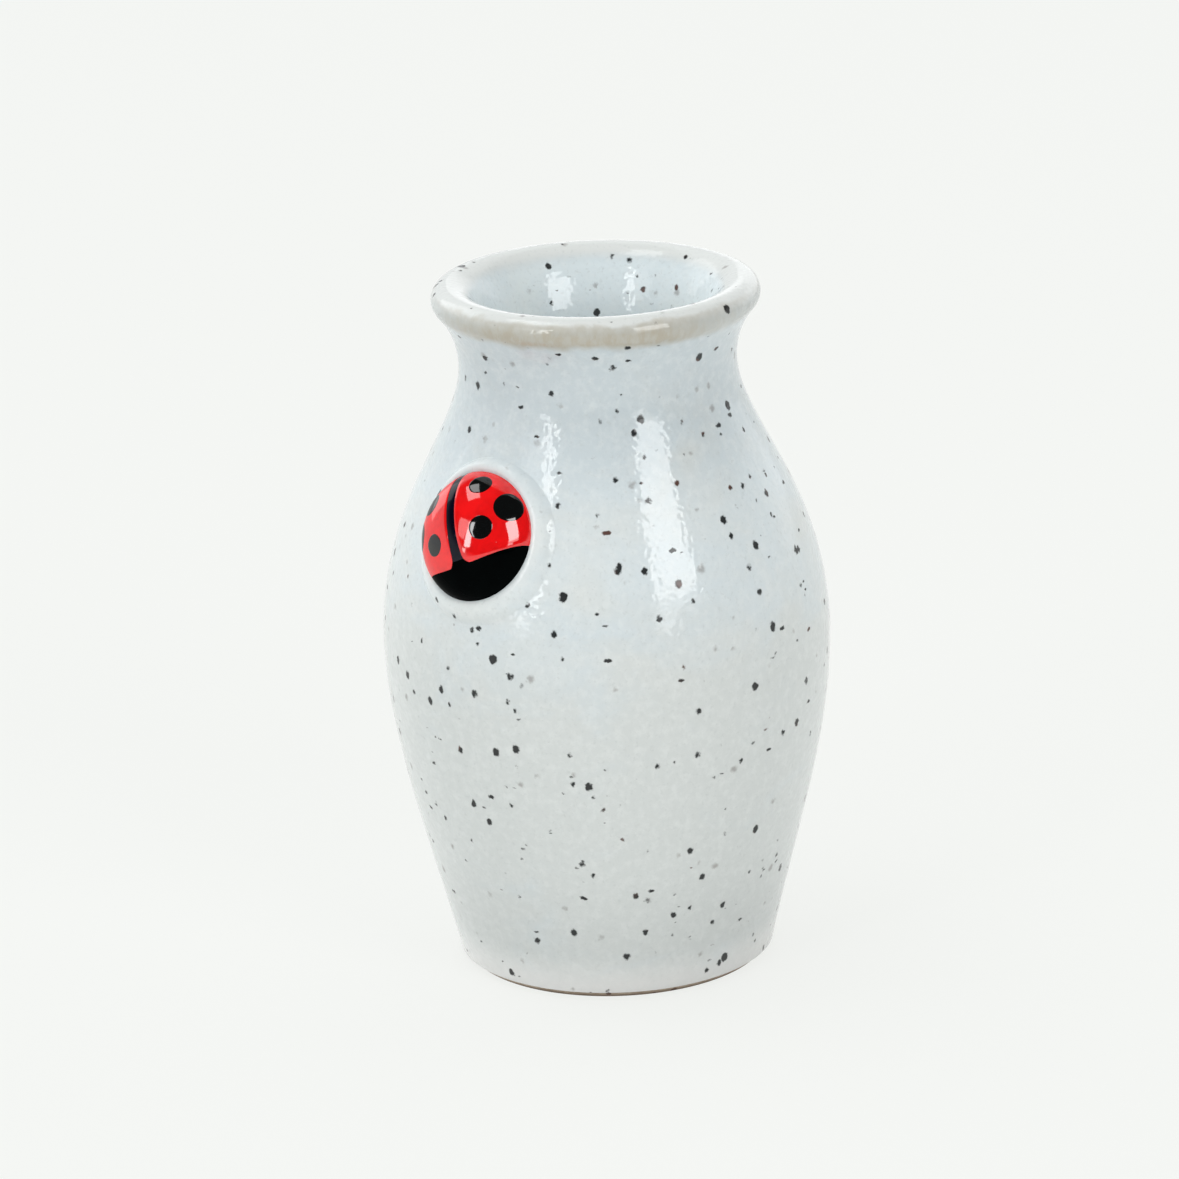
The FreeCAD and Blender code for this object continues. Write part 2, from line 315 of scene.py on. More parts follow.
def wrap_map(mesh, shown=1.0):
    """A map that wraps once round the pot and runs along the outline.

    The share of the outline beyond shown is hidden and gets a thin strip of the map.
    """
    layer = mesh.loops.layers.uv.new("OFBake")
    along = mesh.verts.layers.float["along"]
    cut = shown if shown == 1 else 0.96
    for face in mesh.faces:
        middle = face.calc_center_median()
        home = math.atan2(middle.x, middle.y) / math.tau % 1
        shares = [vert[along] for vert in face.verts]
        closing = max(shares) - min(shares) > 0.5
        for loop in face.loops:
            spot = loop.vert.co
            if math.hypot(spot.x, spot.y) < 1e-7:
                round_pot = home
            else:
                round_pot = math.atan2(spot.x, spot.y) / math.tau % 1
            round_pot += round(home - round_pot)
            share = loop.vert[along]
            if closing and share == 0:
                share = 1
            if share > shown:
                share = cut + (share - shown) / (1 - shown) * (1 - cut)
            else:
                share *= cut / shown
            loop[layer].uv = (min(max(round_pot, 0), 1), min(max(share, 0), 1))


def throwing_marks(spot, outwards):
    """Small uneven rings that fingers leave as the pot turns."""
    angle = math.atan2(spot.y, spot.x)
    climb = spot.z + 0.0011 * angle / math.tau
    rings = noise.noise(Vector((climb * 260, 3.1, 0.7)))
    drift = noise.noise(Vector((spot.x * 60, spot.y * 60, spot.z * 60)))
    return outwards * min(0.035 * MM * rings + 0.05 * MM * drift - 0.02 * MM, 0)


# ---- shader helpers ----
class Tree:
    """The nodes of a material or world, written as one expression for each step."""

    def __init__(self, name, kind="materials"):
        self.owner = getattr(bpy.data, kind).new(name)
        self.owner.use_nodes = True
        self.nodes = self.owner.node_tree.nodes
        self.links = self.owner.node_tree.links
        self.nodes.clear()

    def put(self, socket, value):
        if isinstance(value, bpy.types.NodeSocket):
            self.links.new(value, socket)
        else:
            socket.default_value = value

    def add(self, kind, inputs, **options):
        made = self.nodes.new(kind)
        for key, value in options.items():
            setattr(made, key, value)
        for key, value in inputs.items():
            self.put(made.inputs[key], value)
        return made

    def place(self):
        return self.add("ShaderNodeTexCoord", {}).outputs["Object"]

    def split(self, vector):
        return self.add("ShaderNodeSeparateXYZ", {"Vector": vector}).outputs

    def maths(self, operation, *values):
        return self.add("ShaderNodeMath", dict(enumerate(values)),
                        operation=operation).outputs[0]

    def times(self, first, second):
        return self.maths("MULTIPLY", first, second)

    def vectors(self, operation, first, second):
        return self.add("ShaderNodeVectorMath", {0: first, 1: second},
                        operation=operation).outputs

    def along(self, place, axis):
        """How far a place lies in one direction."""
        return self.vectors("DOT_PRODUCT", place, axis)["Value"]

    def cloud(self, place, grain, detail=3.0, roughness=0.5, warp=0.0):
        """Soft noise whose lumps are about grain metres wide."""
        return self.add("ShaderNodeTexNoise", {
            "Vector": place, "Scale": 1 / grain, "Detail": detail,
            "Roughness": roughness, "Distortion": warp}).outputs["Fac"]

    def between(self, value, low, high, start=0.0, end=1.0):
        """Smooth step from start to end as value goes from low to high."""
        return self.add("ShaderNodeMapRange", {
            "Value": value, "From Min": low, "From Max": high,
            "To Min": start, "To Max": end},
            interpolation_type="SMOOTHSTEP").outputs["Result"]

    def mix(self, share, first, second):
        made = self.add("ShaderNodeMix", {}, data_type="RGBA")
        self.put(made.inputs[0], share)
        for socket, value in ((made.inputs[6], first), (made.inputs[7], second)):
            if not isinstance(value, bpy.types.NodeSocket):
                value = (*value, 1)
            self.put(socket, value)
        return made.outputs[2]

    def shift(self, place, amount, grain):
        """The place moved about at random, so that round marks turn out ragged."""
        lumps = self.cloud(place, grain, 2.0).node.outputs["Color"]
        centred = self.vectors("SUBTRACT", lumps, (0.5, 0.5, 0.5))[0]
        moved = self.add("ShaderNodeVectorMath", {0: centred, "Scale": amount},
                         operation="SCALE").outputs[0]
        return self.vectors("ADD", place, moved)[0]

    def bump(self, height, depth, under=None):
        inputs = {"Height": height, "Distance": depth, "Strength": 1.0}
        if under is not None:
            inputs["Normal"] = under
        return self.add("ShaderNodeBump", inputs).outputs["Normal"]

    def grains(self, place, spacing, smallest, largest, share, blur):
        """1 inside grains that are scattered through the glaze, 0 outside them."""
        cells = self.add("ShaderNodeTexVoronoi", {"Vector": place, "Scale": 1 / spacing},
                         voronoi_dimensions="3D", feature="F1")
        chance = self.add("ShaderNodeSeparateColor", {"Color": cells.outputs["Color"]})
        skewed = self.maths("POWER", chance.outputs["Red"], 1.5)
        radius = self.add("ShaderNodeMapRange", {
            "Value": skewed, "To Min": smallest / spacing,
            "To Max": largest / spacing}).outputs["Result"]
        outside_it = self.maths("SUBTRACT", cells.outputs["Distance"], radius)
        grain = self.between(outside_it, -blur / spacing, blur / spacing, 1.0, 0.0)
        chosen = self.maths("LESS_THAN", chance.outputs["Green"], share)
        return self.times(grain, chosen)

    def squashed(self, place, across, depth, height):
        """The place scaled along each axis, so that round marks come out longer."""
        return self.add("ShaderNodeMapping", {"Vector": place, "Scale": (
            across, depth, height)}, vector_type="POINT").outputs["Vector"]

    def shine(self, tint, **extra):
        return self.add("ShaderNodeBackground", {"Color": tint, **extra}).outputs[0]

    def blend(self, share, first, second):
        return self.add("ShaderNodeMixShader", {0: share, 1: first, 2: second}).outputs[0]

    def surface(self, colour_in, roughness, normal=None, **extra):
        shader = self.add("ShaderNodeBsdfPrincipled", {})
        if not isinstance(colour_in, bpy.types.NodeSocket):
            colour_in = (*colour_in, 1)
        self.put(shader.inputs["Base Color"], colour_in)
        self.put(shader.inputs["Roughness"], roughness)
        if normal is not None:
            self.put(shader.inputs["Normal"], normal)
        for key, value in extra.items():
            self.put(shader.inputs[key.replace("_", " ")], value)
        self.add("ShaderNodeOutputMaterial", {"Surface": shader.outputs[0]})
        return self.owner


# ---- finishes ----
def collar_ridge_highlight(tree, place, pot, bug):
    """1 on the ridge of the collar, where a pale painted highlight is laid on the glaze.
    """
    middle = ladybug_frame(pot, bug)
    across, tailwards, out = (tuple(axis) for axis in middle.to_3x3().transposed())
    offset = tree.vectors("SUBTRACT", place, tuple(middle.translation))["Vector"]
    wide = tree.times(tree.along(offset, across), 1 / bug.half_width)
    long = tree.times(tree.along(offset, tailwards), 1 / bug.half_length)
    oval = tree.maths("SQRT", tree.maths("MULTIPLY_ADD", wide, wide,
                                         tree.times(long, long)))
    near = tree.times(tree.between(oval, 0.98, 1.02),
                      tree.between(oval, 1.06, 1.26, 1.0, 0.0))
    this_side = tree.between(tree.along(offset, out), -8 * MM, -5 * MM)
    return tree.times(near, this_side)


def speckled_glaze(name, pot, finishes, outer, bug=None):
    """Glossy pale glaze with iron burning through, tan where it runs thin off an edge."""
    tree = Tree(name)
    place = tree.place()
    level = tree.split(place)["Z"]
    clouds = tree.cloud(tree.squashed(place, 1, 1, 1.7), 15 * MM, 4.0, 0.6, 0.5)
    upward = tree.between(level, 20 * MM, 74 * MM, -0.2, 0.2)
    cool = tree.between(tree.maths("ADD", clouds, upward), 0.32, 0.72)
    if not outer:
        below = tree.between(level, pot.crest_level - 2.2 * MM,
                             pot.crest_level - 0.5 * MM, 1.0, 0.0)
        # the liner colours below the crest are partly painted light on the inside of the
        # mouth
        body = tree.mix(cool, tree.mix(below, finishes.glaze_warm, finishes.liner),
                        tree.mix(below, finishes.glaze_cool, finishes.liner_cool_and_painted_light))
    else:
        body = tree.mix(cool, finishes.glaze_warm, finishes.glaze_cool)
        shade = tree.between(level, 60 * MM, 70 * MM, 0.0, 0.16)
        body = tree.mix(shade, body, (0.24, 0.27, 0.28))
        # painted light: a pale band round the shoulder, which faces up to the light from
        # above
        thick = tree.times(tree.between(level, 37 * MM, 52 * MM),
                           tree.between(level, 56 * MM, 64 * MM, 0.2, 0.0))
        body = tree.mix(thick, body, (0.80, 0.84, 0.83))
        # painted highlight: the collar's ridge around the ladybug is paled as if lit
        ridge = tree.times(collar_ridge_highlight(tree, place, pot, bug), 0.28)
        body = tree.mix(ridge, body, (0.78, 0.80, 0.77))
    mottle = tree.cloud(place, 1.1 * MM, 3.0, 0.7)
    body = tree.mix(tree.between(mottle, 0.4, 0.75, 0.0, 0.26), body, (0.76, 0.78, 0.76))
    # painted light: paler on the lip's crest, which faces up to the light
    crest = tree.between(level, pot.crest_level - 1.7 * MM, pot.crest_level - 0.5 * MM)
    body = tree.mix(crest, body, finishes.crest_painted_light)
    pitted = tree.cloud(place, 0.45 * MM, 2.0, 0.6)
    body = tree.mix(tree.between(pitted, 0.54, 0.78, 0.0, 0.3), body, (0.43, 0.46, 0.45))
    if outer:
        body = edges_breaking(tree, place, level, body, pot, finishes)

    ragged = tree.shift(place, 0.55 * MM, 0.45 * MM)
    crowd = tree.between(tree.cloud(place, 22 * MM, 1.0), 0.4, 0.62, 0.5, 0.95)
    tall = tree.squashed(ragged, 1.08, 1.08, 0.86)
    wide = tree.squashed(ragged, 0.75, 0.75, 1.4)
    bold = tree.grains(tall, 2.5 * MM, 0.2 * MM, 0.52 * MM, crowd, 0.11 * MM)
    small = tree.grains(wide, 2.1 * MM, 0.1 * MM, 0.36 * MM, 0.45, 0.09 * MM)
    sunk = tree.grains(ragged, 2.4 * MM, 0.16 * MM, 0.5 * MM, 0.32, 0.22 * MM)
    rusty = tree.cloud(place, 4 * MM, 1.0)
    iron = tree.mix(tree.between(rusty, 0.61, 0.67), finishes.iron, finishes.iron_rust)
    veiled = tree.mix(tree.times(sunk, 0.5), body, (0.13, 0.10, 0.085))
    dark = tree.maths("MAXIMUM", bold, small)
    painted = tree.mix(tree.times(dark, 0.96), veiled, iron)

    peel = tree.cloud(place, 0.6 * MM, 0.0)
    swell = tree.cloud(place, 4.5 * MM, 1.0)
    normal = tree.bump(swell, 0.05 * MM, tree.bump(peel, 0.032 * MM))
    rough = tree.between(sunk, 0.0, 1.0, 0.045, 0.08)
    return tree.surface(painted, rough, normal, IOR=1.5, Specular_IOR_Level=0.35)


def edges_breaking(tree, place, level, body, pot, finishes):
    """Tan below the lip, strongest right of the ladybug; painted shade in a band above
    the foot, and a pinkish foot that is also paled as painted light bounced from the
    floor.
    """
    runs = tree.cloud(place, 2.6 * MM, 3.0, 0.5)
    ragged = tree.maths("MULTIPLY_ADD", runs, 1.3 * MM,
                        tree.maths("SUBTRACT", level, 0.65 * MM))
    crest = pot.crest_level
    lower = tree.between(ragged, crest - 3.9 * MM, crest - 2.7 * MM)
    upper = tree.between(ragged, crest - 1.9 * MM, crest - 0.5 * MM, 1.0, 0.62)
    edge = tree.between(ragged, crest - 0.85 * MM, crest - 0.35 * MM, 1.0, 0.0)
    streaks = tree.cloud(tree.squashed(place, 1, 1, 0.5), 0.9 * MM, 3.0, 0.6)
    upper = tree.times(upper, edge)
    band = tree.times(tree.times(lower, upper),
                      tree.between(streaks, 0.3, 0.65, 0.75, 1.0))
    front_right = tree.along(place, (0.82, -0.57, 0))
    back_right = tree.along(place, (0.76, 0.65, 0))
    side = tree.times(tree.between(front_right, -4 * MM, 13 * MM, 0.25, 1.0),
                      tree.between(back_right, 6 * MM, 17 * MM, 1.0, 0.45))
    band = tree.times(band, side)
    tan = tree.mix(band, body, finishes.glaze_break)
    low = tree.maths("SUBTRACT", ragged, 0.4 * MM)
    # painted shade: a darker band a few millimetres above the foot
    painted_low_shade = tree.times(tree.between(low, 2.5 * MM, 6 * MM),
                        tree.between(low, 7 * MM, 17 * MM, 0.1, 0.0))
    tan = tree.mix(painted_low_shade, tan, (0.27, 0.28, 0.28))
    # pinkish where the glaze stops, and paler there as painted light bounced up from the
    # floor
    foot = tree.between(low, 0.6 * MM, 5.5 * MM, 0.6, 0.0)
    return tree.mix(foot, tan, finishes.foot_tint_and_painted_bounce)


def bare_clay(name, finishes):
    """Dry stoneware with iron grains and turning lines, darkened near the ground as
    painted contact shadow.
    """
    tree = Tree(name)
    place = tree.place()
    spots = tree.cloud(place, 0.5 * MM, 4.0, 0.7)
    toast = tree.cloud(place, 7 * MM, 3.0)
    base = tree.mix(tree.between(toast, 0.35, 0.7), finishes.clay, (0.33, 0.25, 0.175))
    sandy = tree.mix(tree.between(spots, 0.45, 0.7, 0.0, 0.35), base, (0.62, 0.54, 0.43))
    grains = tree.grains(tree.shift(place, 0.3 * MM, 0.8 * MM), 2.2 * MM, 0.1 * MM,
                         0.45 * MM, 0.6, 0.06 * MM)
    axes = tree.split(place)
    # painted contact shadow: the clay darkens towards the ground
    painted_contact_shadow = tree.between(axes["Z"], 0.1 * MM, 0.55 * MM, 0.9, 0.0)
    clay_with_contact_shadow = tree.mix(painted_contact_shadow, sandy, (0.19, 0.135, 0.095))
    painted = tree.mix(tree.times(grains, 0.85), clay_with_contact_shadow, finishes.iron_rust)
    radius = tree.maths("SQRT", tree.maths("MULTIPLY_ADD", axes["X"], axes["X"],
                                           tree.times(axes["Y"], axes["Y"])))
    rings = tree.maths("SINE", tree.times(radius, math.tau / (0.9 * MM)))
    normal = tree.bump(spots, 0.05 * MM, tree.bump(rings, 0.02 * MM))
    return tree.surface(painted, 0.82, normal)


def gloss_enamel(name, colour_in, depth, dust, shine):
    """Deep glossy colour that is a little uneven, as brushed enamel fires."""
    tree = Tree(name)
    place = tree.place()
    pool = tree.cloud(place, 2.6 * MM, 3.0, 0.6)
    darker = tuple(channel * depth for channel in colour_in)
    shade = tree.mix(tree.between(pool, 0.35, 0.7), colour_in, darker)
    motes = tree.grains(tree.shift(place, 0.1 * MM, 0.4 * MM), 1.3 * MM, 0.02 * MM,
                        0.07 * MM, 0.5, 0.03 * MM)
    painted = tree.mix(tree.times(motes, dust), shade, (0.5, 0.36, 0.34))
    swell = tree.cloud(place, 1.6 * MM, 2.0)
    lean = tree.times(tree.split(place)["X"], -0.15)
    normal = tree.bump(swell, 0.008 * MM, tree.bump(lean, 1.0))
    return tree.surface(painted, 0.06, normal, IOR=1.5, Specular_IOR_Level=shine)


def plain_fired(name, colour_in, rough):
    tree = Tree(name)
    lumps = tree.cloud(tree.place(), 0.8 * MM, 3.0)
    darker = tuple(channel * 0.8 for channel in colour_in)
    shade = tree.mix(tree.between(lumps, 0.3, 0.7), colour_in, darker)
    return tree.surface(shade, rough, tree.bump(lumps, 0.03 * MM))


# ---- the pot ----
def user_values(context):
    scene = context.scene
    return scene.budvase_pot, scene.budvase_bug, scene.budvase_finishes


def refine_near(mesh, place, bug):
    """Splits the faces around the ladybug, where the collar needs a finer mesh."""
    to_bug = place.inverted()
    for margin in (COLLAR_REACH, 3.0 * MM):
        near = [face for face in mesh.faces
                if near_ladybug(bug, to_bug @ face.calc_center_median(), margin)]
        edges = list({edge for face in near for edge in face.edges})
        bmesh.ops.subdivide_edges(mesh, edges=edges, cuts=2, use_grid_fill=True)


def on_turned_wall(spot, wall):
    """The point pushed out to the outline, since a split edge cuts the curve short."""
    radius = math.hypot(spot.x, spot.y)
    for below, above in zip(wall, wall[1:]):
        if below.y <= spot.z <= above.y:
            part = (spot.z - below.y) / max(above.y - below.y, 1e-9)
            wanted = below.x + part * (above.x - below.x)
            return Vector((spot.x * wanted / radius, spot.y * wanted / radius, spot.z))
    return spot


class BUDVASE_OT_clay_body(bpy.types.Operator):
    """Turn the clay body, bare at the foot"""
    bl_idname = "budvase.clay_body"
    bl_label = "Clay body"

    def execute(self, context):
        pot, _, finishes = user_values(context)
        bare_radius = pot.foot_radius - pot.glaze
        bevel_foot = Vector((bare_radius - pot.foot_bevel, 0))
        band_foot = Vector((bare_radius - SKIN, 0.45 * MM))
        underside = [Vector((bevel_foot.x * i / 24, 0)) for i in range(24)]
        outline = underside + [bevel_foot, band_foot]
        outline += outside(pot, pot.glaze + SKIN) + inside(pot, pot.glaze + SKIN)[1:]
        mesh = turned(outline, pot, closed=False)
        wrap_map(mesh)
        sharpen(mesh, 30)
        clay = bare_clay("bare_stoneware", finishes)
        finish_mesh(mesh, "clay_body", clay, ["vase_body"])
        return {"FINISHED"}


class BUDVASE_OT_outer_glaze(bpy.types.Operator):
    """Coat the outside, over the collar, from the foot band to the crest"""
    bl_idname = "budvase.outer_glaze"
    bl_label = "Outer glaze"

    def execute(self, context):
        pot, bug, finishes = user_values(context)
        wall = outside(pot, 0)
        outline = wall + outside(pot, pot.glaze)[::-6]
        mesh = turned(outline, pot, closed=True)
        place = ladybug_frame(pot, bug)
        refine_near(mesh, place, bug)

        to_bug = place.inverted()
        right = (to_bug.to_3x3() @ Vector((1, 0, 0))).xy
        out = place.to_3x3() @ Vector((0, 0, 1))
        along = mesh.verts.layers.float["along"]
        outer_share = shown_share(outline, wall)
        for vert in mesh.verts:
            if vert[along] > outer_share:
                continue
            vert.co = on_turned_wall(vert.co, wall)
            outwards = Vector((vert.co.x, vert.co.y, 0)).normalized()
            fade = min((pot.crest_level - vert.co.z) / (3 * MM), 1)
            vert.co += throwing_marks(vert.co, outwards) * fade
            local = to_bug @ vert.co
            if near_ladybug(bug, local, COLLAR_REACH):
                vert.co += out * collar_rise(bug, local, right)
        wrap_map(mesh, outer_share)
        sharpen(mesh, 50)
        glaze = speckled_glaze("speckled_glaze", pot, finishes, True, bug)
        finish_mesh(mesh, "outer_coat", glaze, ["outer_glaze"])
        return {"FINISHED"}


class BUDVASE_OT_liner_glaze(bpy.types.Operator):
    """Coat the inside from the crest to the floor"""
    bl_idname = "budvase.liner_glaze"
    bl_label = "Liner glaze"

    def execute(self, context):
        pot, _, finishes = user_values(context)
        wall = inside(pot, 0)
        outline = wall + inside(pot, pot.glaze)[::-6]
        mesh = turned(outline, pot, closed=False)
        wrap_map(mesh, shown_share(outline, wall))
        sharpen(mesh, 50)
        glaze = speckled_glaze("speckled_liner", pot, finishes, outer=False)
        finish_mesh(mesh, "liner_coat", glaze, ["liner_glaze"])
        return {"FINISHED"}


# ---- the ladybug ----
# how far the enamels stand above the dome; their edges are sunk and tuck into each other
HEAD_LEVEL = WING_EDGE = -0.035 * MM
SEAM_LEVEL = -0.07 * MM
SPOT_EDGE = -0.055 * MM
SPOT_CROWN = 0.075 * MM     # a spot's middle above its own edge
BED_THICKNESS = 0.3 * MM

# name, across to the right, towards the tail and radius, in millimetres
SPOTS = (
    ("spot_right_tail", 3.15, 4.85, 1.50),
    ("spot_right_side", 6.25, 1.40, 1.95),
    ("spot_right_front", 3.35, -0.50, 1.52),
    ("spot_left_tail", -3.80, 4.40, 1.50),
    ("spot_left_side", -6.35, 1.40, 1.85),
    ("spot_left_front", -3.30, -0.75, 1.40),
)


def domed(bug, sideways, lengthways, proud):
    """A point of the dome at two angles from its top, in the ladybug's own frame."""
    return Vector((
        (bug.half_width + proud) * math.cos(lengthways) * math.sin(sideways),
        (bug.half_length + proud) * math.sin(lengthways),
        (bug.dome + proud) * math.cos(lengthways) * math.cos(sideways) - bug.seat_depth,
    ))


def patch(columns, rows, spot):
    """A grid whose corners and middle are placed by a rule of two shares."""
    mesh = bmesh.new()
    bmesh.ops.create_grid(mesh, x_segments=columns, y_segments=rows, size=0.5)
    for vert in mesh.verts:
        vert.co = spot(vert.co.x + 0.5, vert.co.y + 0.5)
    return mesh


def set_patch(mesh, place, thickness, name, material, nodes):
    """Gives a patch its thickness and puts it on the vase."""
    bmesh.ops.remove_doubles(mesh, verts=mesh.verts, dist=1e-6)
    bmesh.ops.transform(mesh, matrix=place, verts=mesh.verts)
    middle = place.translation - (place.to_3x3() @ Vector((0, 0, 1))) * 4 * MM
    mesh.normal_update()
    face = max(mesh.faces, key=lambda f: f.calc_area())
    if face.normal.dot(face.calc_center_median() - middle) < 0:
        bmesh.ops.reverse_faces(mesh, faces=mesh.faces)
    bmesh.ops.solidify(mesh, geom=mesh.faces[:], thickness=thickness)
    bmesh.ops.recalc_face_normals(mesh, faces=mesh.faces)
    sharpen(mesh, 45)
    return finish_mesh(mesh, name, material, nodes)


def eased(share, edge):
    """0 at either end of a share and 1 once it is further in than edge."""
    nearest = min(share, 1 - share) / edge
    return 1 - (1 - min(nearest, 1)) ** 2


class BUDVASE_OT_ladybug(bpy.types.Operator):
    """Set the ladybug: core, head, seam, wings and spots"""
    bl_idname = "budvase.ladybug"
    bl_label = "Ladybug"

    def execute(self, context):
        pot, bug, finishes = user_values(context)
        place = ladybug_frame(pot, bug)
        red = gloss_enamel("red_enamel", finishes.red, 0.8, 0.3, 1.0)
        black = gloss_enamel("black_enamel", finishes.black, 0.6, 0.01, 0.012)
        dull = gloss_enamel("black_line", finishes.seam, 0.6, 0.02, 0.28)
        inky = gloss_enamel("black_brushwork", finishes.black, 0.6, 0.02, 0.85)
        self.core(bug, place, finishes)
        self.head(bug, place, black)
        self.seam(bug, place, dull)
        for side, name in ((1, "right"), (-1, "left")):
            self.wing(bug, place, red, side, name)
        for name, across, tailwards, radius in SPOTS:
            self.spot(bug, place, inky, name, across * MM, tailwards * MM, radius * MM)
        return {"FINISHED"}

    def core(self, bug, place, finishes):
        """White blank that fills the dome under the enamel, down to its seat."""
        mesh = bmesh.new()
        bmesh.ops.create_uvsphere(mesh, u_segments=48, v_segments=32, radius=1)
        bmesh.ops.bisect_plane(mesh, geom=mesh.verts[:] + mesh.edges[:] + mesh.faces[:],
                               plane_co=(0, 0, 0), plane_no=(0, 0, -1), clear_outer=True)
        rim = [edge for edge in mesh.edges if edge.is_boundary]
        bmesh.ops.holes_fill(mesh, edges=rim, sides=0)
        inner = [value - bug.enamel * 0.6
                 for value in (bug.half_width, bug.half_length, bug.dome)]
        bmesh.ops.scale(mesh, vec=inner, verts=mesh.verts)
        bmesh.ops.translate(mesh, vec=(0, 0, -bug.seat_depth), verts=mesh.verts)
        bmesh.ops.transform(mesh, matrix=place, verts=mesh.verts)
        sharpen(mesh, 45)
        white = plain_fired("white_blank", (0.8, 0.77, 0.71), 0.5)
        finish_mesh(mesh, "ladybug_blank", white, ["ladybug_core"])

    def brow_angle(self, bug, sideways):
        """Where the wings end: a shallow curve that drops towards the seam."""
        beside = abs(math.sin(sideways) - bug.seam_aside / bug.half_width)
        level = -bug.brow + 0.95 * MM * min(beside, 1) ** 1.6
        return math.asin(level / bug.half_length)

    def seam_line(self, bug, lengthways, along):
        """Middle and half width of the seam, both narrowing to nothing at the tail."""
        girth = bug.half_width * math.cos(lengthways)
        wider = 1 + 0.35 * max(0, 1 - along * 3.2) ** 2
        return (girth, bug.seam_aside * min(girth / (2.5 * MM), 1),
                bug.seam / 2 * wider * min(girth / (1.5 * MM), 1))

    def head(self, bug, place, black):
        front = -math.pi / 2

        def spot(across, along):
            sideways = (across - 0.5) * math.pi
            back = self.brow_angle(bug, sideways) + math.radians(5)
            return domed(bug, sideways, front + along * (back - front), HEAD_LEVEL)
        mesh = patch(72, 28, spot)
        set_patch(mesh, place, bug.enamel * 0.5, "head", black,
                  ["head_enamel"])

    def seam(self, bug, place, black):
        def spot(across, along):
            back = math.radians(86)
            front = self.brow_angle(bug, 0) + math.radians(2)
            lengthways = front + along * (back - front)
            girth, middle, half = self.seam_line(bug, lengthways, along)
            sideways = (middle + (across * 2 - 1) * half * 1.5) / girth
            sideways = math.asin(max(-1, min(sideways, 1)))
            return domed(bug, sideways, lengthways, SEAM_LEVEL)
        set_patch(patch(8, 60, spot), place, bug.enamel * 0.5, "seam", black,
                  ["wing_seam"])

    def wing(self, bug, place, red, side, name):
        def spot(across, along):
            back = math.radians(87.5)
            front = self.brow_angle(bug, side * across * math.pi / 2)
            lengthways = front + along * (back - front)
            girth, middle, half = self.seam_line(bug, lengthways, along)
            inner = math.asin(min((half + side * middle) / girth, 1))
            sideways = inner + across * (math.pi / 2 - inner)
            corner = max(0, 1 - across * 12) ** 2 * max(0, 1 - along * 14)
            lengthways += corner * math.radians(5)
            crown = min(eased(max(across, 0) / 2, 0.02), eased(along / 2, 0.02))
            return domed(bug, side * sideways, lengthways, WING_EDGE * (1 - crown))
        mesh = patch(56, 72, spot)
        set_patch(mesh, place, bug.enamel * 0.5, name + "_wing_case", red,
                  ["wing_" + name])

    def spot(self, bug, place, black, name, across, tailwards, radius):
        """A round dab that lies on the dome, its edge tucked into the red."""
        height = bug.dome * math.sqrt(1 - (across / bug.half_width) ** 2
                                      - (tailwards / bug.half_length) ** 2)
        square = Vector((across / bug.half_width ** 2, tailwards / bug.half_length ** 2,
                         height / bug.dome ** 2)).normalized()
        middle = Vector((across, tailwards, height - bug.seat_depth))
        turn_to = square.to_track_quat("Z", "Y").to_matrix()
        mesh = bmesh.new()
        bmesh.ops.create_circle(mesh, cap_ends=True, segments=48, radius=1)
        for _ in range(9):
            inner = [face for face in mesh.faces if len(face.verts) == 48]
            bmesh.ops.inset_region(mesh, faces=inner, thickness=0.1, use_boundary=True,
                                   use_even_offset=True)
        for vert in mesh.verts:
            share = vert.co.length
            wobble = 1 + 0.04 * noise.noise(Vector((vert.co.x * 1.5, vert.co.y * 1.5,
                                                    across * 900)))
            local = middle + turn_to @ (vert.co * radius * wobble)
            lift = SPOT_EDGE + SPOT_CROWN * eased(0.5 * (1 - share), 0.08)
            vert.co = self.onto_dome(bug, local, lift)
        set_patch(mesh, place, bug.enamel * 0.5, name + "_dab", black,
                  [name])

    def onto_dome(self, bug, local, lift):
        """The point carried straight in or out from the dome's heart to its skin."""
        heart = Vector((0, 0, -bug.seat_depth))
        ray = local - heart
        scaled = Vector((ray.x / (bug.half_width + lift),
                         ray.y / (bug.half_length + lift), ray.z / (bug.dome + lift)))
        return heart + ray / scaled.length


